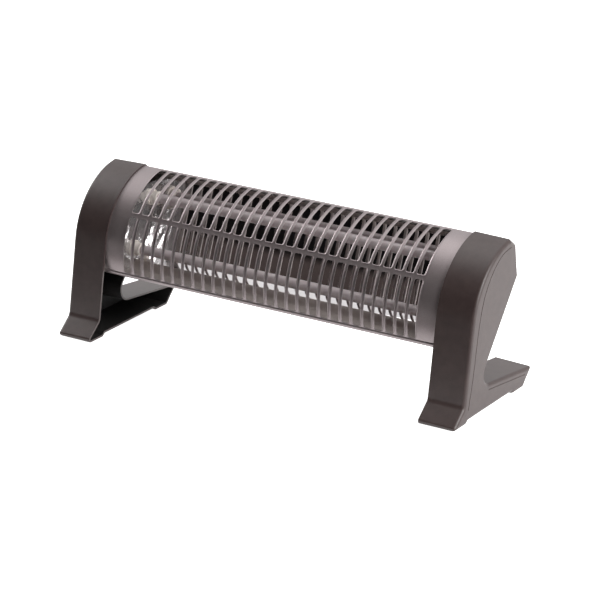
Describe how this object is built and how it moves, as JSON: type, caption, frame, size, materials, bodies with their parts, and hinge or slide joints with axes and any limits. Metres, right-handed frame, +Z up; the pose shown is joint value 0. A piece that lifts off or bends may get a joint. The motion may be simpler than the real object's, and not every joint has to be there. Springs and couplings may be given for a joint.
{
  "type": "electric bar heater",
  "caption": "Low electric bar heater: curved slotted grille and mirror reflector round milky quartz tubes, held between moulded end stands, with rocker switches and a tip-over switch.",
  "frame": {"origin": "on the floor, under the middle of the whole heater", "axes": "+X along the tubes towards the stand with the switches, -Y towards the front grille, +Z up"},
  "size_m": [0.5, 0.164, 0.1759],
  "materials": {
    "stand_grey": "dark warm grey moulding, satin",
    "grille_paint": "mauve silver metallic paint",
    "mirror_sheet": "polished sheet",
    "bright_sheet": "bright sheet, slightly crinkled",
    "cover_paint": "dark grey paint",
    "plated_steel": "zinc plated",
    "milky_quartz": "milky quartz",
    "coil_wire": "resistance wire",
    "cap_ceramic": "cream, unglazed",
    "lead_sleeve": "woven glass sleeve",
    "lead_blue": "insulated wire",
    "lead_brown": "insulated wire",
    "block_plastic": "moulded",
    "switch_black": "moulded",
    "rocker_black": "smooth moulding",
    "contact_brass": "bare",
    "plunger_plastic": "moulded",
    "gland_rubber": "moulded",
    "screw_dark": "dark screws"
  },
  "bodies": {
    "heater": {"left_stand": "stand_grey", "right_stand": "stand_grey", "front_grille": "grille_paint", "reflector": "mirror_sheet", "left_reflector_end": "bright_sheet", "right_reflector_end": "bright_sheet", "rear_cover": "cover_paint", "left_end_plate": "plated_steel", "right_end_plate": "plated_steel", "upper_quartz_tube": "milky_quartz", "lower_quartz_tube": "milky_quartz", "upper_heating_coil": "coil_wire", "lower_heating_coil": "coil_wire", "upper_left_cap": "cap_ceramic", "upper_right_cap": "cap_ceramic", "lower_left_cap": "cap_ceramic", "lower_right_cap": "cap_ceramic", "upper_terminal_pins": "plated_steel", "lower_terminal_pins": "plated_steel", "terminal_nuts": "plated_steel", "terminal_tags": "plated_steel", "left_link_lead": "lead_sleeve", "return_lead": "lead_blue", "upper_tube_lead": "lead_sleeve", "lower_tube_lead": "lead_sleeve", "supply_leads": "lead_brown", "terminal_block": "block_plastic", "terminal_block_screws": "plated_steel", "upper_switch_housing": "switch_black", "lower_switch_housing": "switch_black", "switch_blades": "contact_brass", "tilt_switch_housing": "switch_black", "tilt_contacts": "contact_brass", "tilt_spring": "plated_steel", "cord_gland": "gland_rubber", "gland_nut": "switch_black", "end_plate_screws": "plated_steel", "cover_screws": "screw_dark"},
    "upper_rocker": {"upper_rocker": "rocker_black"},
    "lower_rocker": {"lower_rocker": "rocker_black"},
    "tilt_plunger": {"tilt_plunger": "plunger_plastic"}
  },
  "joints": [
    {"name": "upper_rocker_tilt", "type": "hinge", "parent": "heater", "child": "upper_rocker", "pos_m": [0.22, 0.04053, 0.14843], "axis": [1, 0, 0], "range_deg": [0, 20]},
    {"name": "lower_rocker_tilt", "type": "hinge", "parent": "heater", "child": "lower_rocker", "pos_m": [0.237, 0.04053, 0.14843], "axis": [1, 0, 0], "range_deg": [0, 20]},
    {"name": "tilt_plunger_slide", "type": "slide", "parent": "heater", "child": "tilt_plunger", "axis": [0, 0, 1], "range_m": [-0.005, 0], "stiffness_N_per_m": 100, "springref_m": -0.008, "deforming": ["tilt_spring"]}
  ]
}
